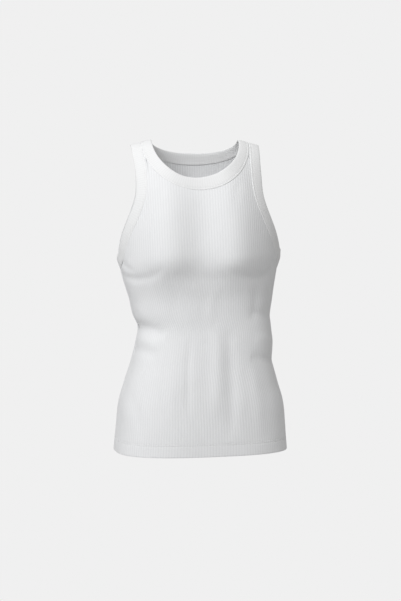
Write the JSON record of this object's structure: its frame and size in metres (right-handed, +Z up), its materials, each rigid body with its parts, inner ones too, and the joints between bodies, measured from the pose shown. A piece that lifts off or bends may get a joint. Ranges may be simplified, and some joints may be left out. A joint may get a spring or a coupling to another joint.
{
  "type": "tank top",
  "caption": "Fitted sleeveless tank top in white rib knit, filled out as worn, with a high round neck, folded bands round neck and armholes, and a turned-up hem.",
  "frame": {"origin": "midway between the two shoulder seams, at their height, where the wearer's shoulders hold the garment up", "axes": "+Z up, -Y out of the front, -X towards the wearer's right"},
  "size_m": [0.3166, 0.236, 0.5627],
  "materials": {
    "rib_cloth": "fine 1x1 rib knit in white cotton, matt",
    "band_cloth": "the same rib folded double and pressed, matt"
  },
  "bodies": {
    "root": {"front": "rib_cloth", "back": "rib_cloth", "neck_band": "band_cloth", "armband_right": "band_cloth", "armband_left": "band_cloth"}
  },
  "joints": []
}
